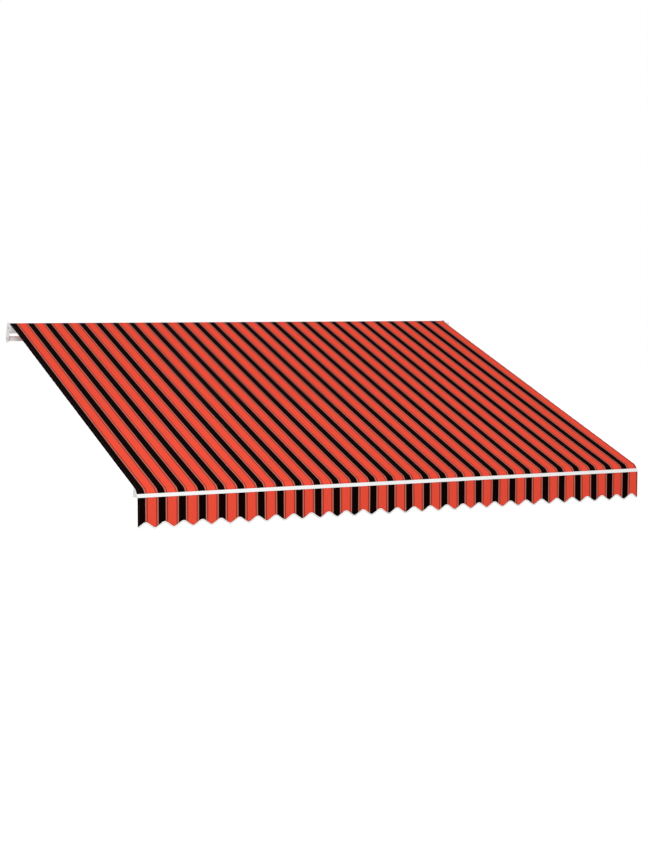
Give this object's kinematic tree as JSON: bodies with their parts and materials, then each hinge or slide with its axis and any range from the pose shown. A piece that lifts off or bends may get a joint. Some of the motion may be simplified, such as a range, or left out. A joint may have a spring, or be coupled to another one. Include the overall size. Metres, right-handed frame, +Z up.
{
  "type": "fabric awning",
  "caption": "Retractable folding-arm awning standing open: striped canvas from a roller to a white front bar with a wavy valance, on a wall-mounted torsion bar.",
  "frame": {"origin": "middle of the back face of the middle wall bracket, on the wall plane Y = 0", "axes": "+Z up, +X along the wall to the right as seen from in front, +Y into the wall; the awning reaches out towards -Y"},
  "size_m": [4.0696, 3.0104, 1.3328],
  "materials": {
    "canvas_cloth": "matt woven acrylic, orange-red with black stripes and pale pinstripes",
    "valance_cloth": "matt woven acrylic, orange-red with black stripes and pale pinstripes",
    "binding_tape": "matt white woven tape",
    "front_bar_white": "satin white powder coat on aluminium",
    "white_paint": "satin white powder coat on steel",
    "white_aluminium": "satin white powder coat on cast and extruded aluminium",
    "zinc_steel": "zinc plated",
    "steel_tube": "galvanised",
    "white_plastic": "satin",
    "grey_plastic": "satin"
  },
  "bodies": {
    "frame": {"torsion_bar": "white_paint", "roller_cover": "white_aluminium", "wall_bracket_left": "white_paint", "bracket_clamp_left": "white_paint", "wall_bracket_centre": "white_paint", "bracket_clamp_centre": "white_paint", "wall_bracket_right": "white_paint", "bracket_clamp_right": "white_paint", "left_end_block": "zinc_steel", "left_side_bolt": "zinc_steel", "left_tilt_bolt": "zinc_steel", "left_pitch_screw": "zinc_steel", "left_shoulder_pin": "zinc_steel", "left_roller_bush": "grey_plastic", "left_side_plate": "white_paint", "left_arm_support": "white_aluminium", "left_shoulder_bracket": "white_aluminium", "right_end_block": "zinc_steel", "right_side_bolt": "zinc_steel", "right_tilt_bolt": "zinc_steel", "right_pitch_screw": "zinc_steel", "right_shoulder_pin": "zinc_steel", "right_roller_bush": "grey_plastic", "right_side_plate": "white_paint", "right_arm_support": "white_aluminium", "right_shoulder_bracket": "white_aluminium", "gearbox": "white_plastic", "canvas": "canvas_cloth"},
    "roller": {"roller_tube": "steel_tube", "canvas_roll": "canvas_cloth", "left_roller_plug": "grey_plastic", "right_roller_plug": "grey_plastic"},
    "crank_eye": {"crank_eye": "zinc_steel"},
    "left_upper_arm": {"left_shoulder_knuckle": "white_aluminium", "left_upper_arm_tube": "white_aluminium", "left_arm_spring": "zinc_steel", "left_elbow_fork": "white_aluminium", "left_elbow_pin": "zinc_steel"},
    "left_forearm": {"left_elbow_knuckle": "white_aluminium", "left_forearm_tube": "white_aluminium", "left_front_knuckle": "white_aluminium"},
    "right_upper_arm": {"right_shoulder_knuckle": "white_aluminium", "right_upper_arm_tube": "white_aluminium", "right_arm_spring": "zinc_steel", "right_elbow_fork": "white_aluminium", "right_elbow_pin": "zinc_steel"},
    "right_forearm": {"right_elbow_knuckle": "white_aluminium", "right_forearm_tube": "white_aluminium", "right_front_knuckle": "white_aluminium"},
    "front_bar": {"front_bar": "front_bar_white", "canvas_hem": "canvas_cloth", "valance": "valance_cloth", "valance_binding": "binding_tape", "left_front_cap": "white_plastic", "left_front_bracket": "white_aluminium", "left_front_pin": "zinc_steel", "right_front_cap": "white_plastic", "right_front_bracket": "white_aluminium", "right_front_pin": "zinc_steel"}
  },
  "joints": [
    {"name": "left_shoulder", "type": "hinge", "parent": "frame", "child": "left_upper_arm", "pos_m": [-1.75, -0.17137, 0.04195], "axis": [0, -0.3453, 0.9385], "range_deg": [0, 69.88], "deforming": ["canvas"]},
    {"name": "left_elbow", "type": "hinge", "parent": "left_upper_arm", "child": "left_forearm", "pos_m": [-1.27882, -1.52267, -0.45523], "axis": [0, -0.3453, 0.9385], "range_deg": [-139.76, 0]},
    {"name": "left_front_pivot", "type": "hinge", "parent": "left_forearm", "child": "front_bar", "pos_m": [-1.75, -2.87398, -0.95242], "axis": [0, -0.3453, 0.9385], "range_deg": [0, 69.88]},
    {"name": "right_shoulder", "type": "hinge", "parent": "frame", "child": "right_upper_arm", "pos_m": [1.75, -0.17137, 0.04195], "axis": [0, -0.3453, 0.9385], "range_deg": [-69.88, 0]},
    {"name": "right_elbow", "type": "hinge", "parent": "right_upper_arm", "child": "right_forearm", "pos_m": [1.27882, -1.52267, -0.45523], "axis": [0, -0.3453, 0.9385], "range_deg": [0, 139.76]},
    {"name": "roller_turn", "type": "hinge", "parent": "frame", "child": "roller", "pos_m": [0, -0.07, 0.085], "axis": [1, 0, 0], "range_deg": [-3881.5, 0]},
    {"name": "crank_turn", "type": "hinge", "parent": "frame", "child": "crank_eye", "pos_m": [2.0369, -0.07, 0.027], "axis": [0, 0, 1], "range_deg": [0, 42691.8]}
  ],
  "couplings": [
    {"joint": "left_elbow", "follows": "left_shoulder", "ratio": -2},
    {"joint": "left_front_pivot", "follows": "left_shoulder", "ratio": 1},
    {"joint": "right_shoulder", "follows": "left_shoulder", "ratio": -1},
    {"joint": "right_elbow", "follows": "left_shoulder", "ratio": 2},
    {"joint": "roller_turn", "follows": "left_shoulder", "ratio": -55.474},
    {"joint": "crank_turn", "follows": "left_shoulder", "ratio": 610.21}
  ]
}
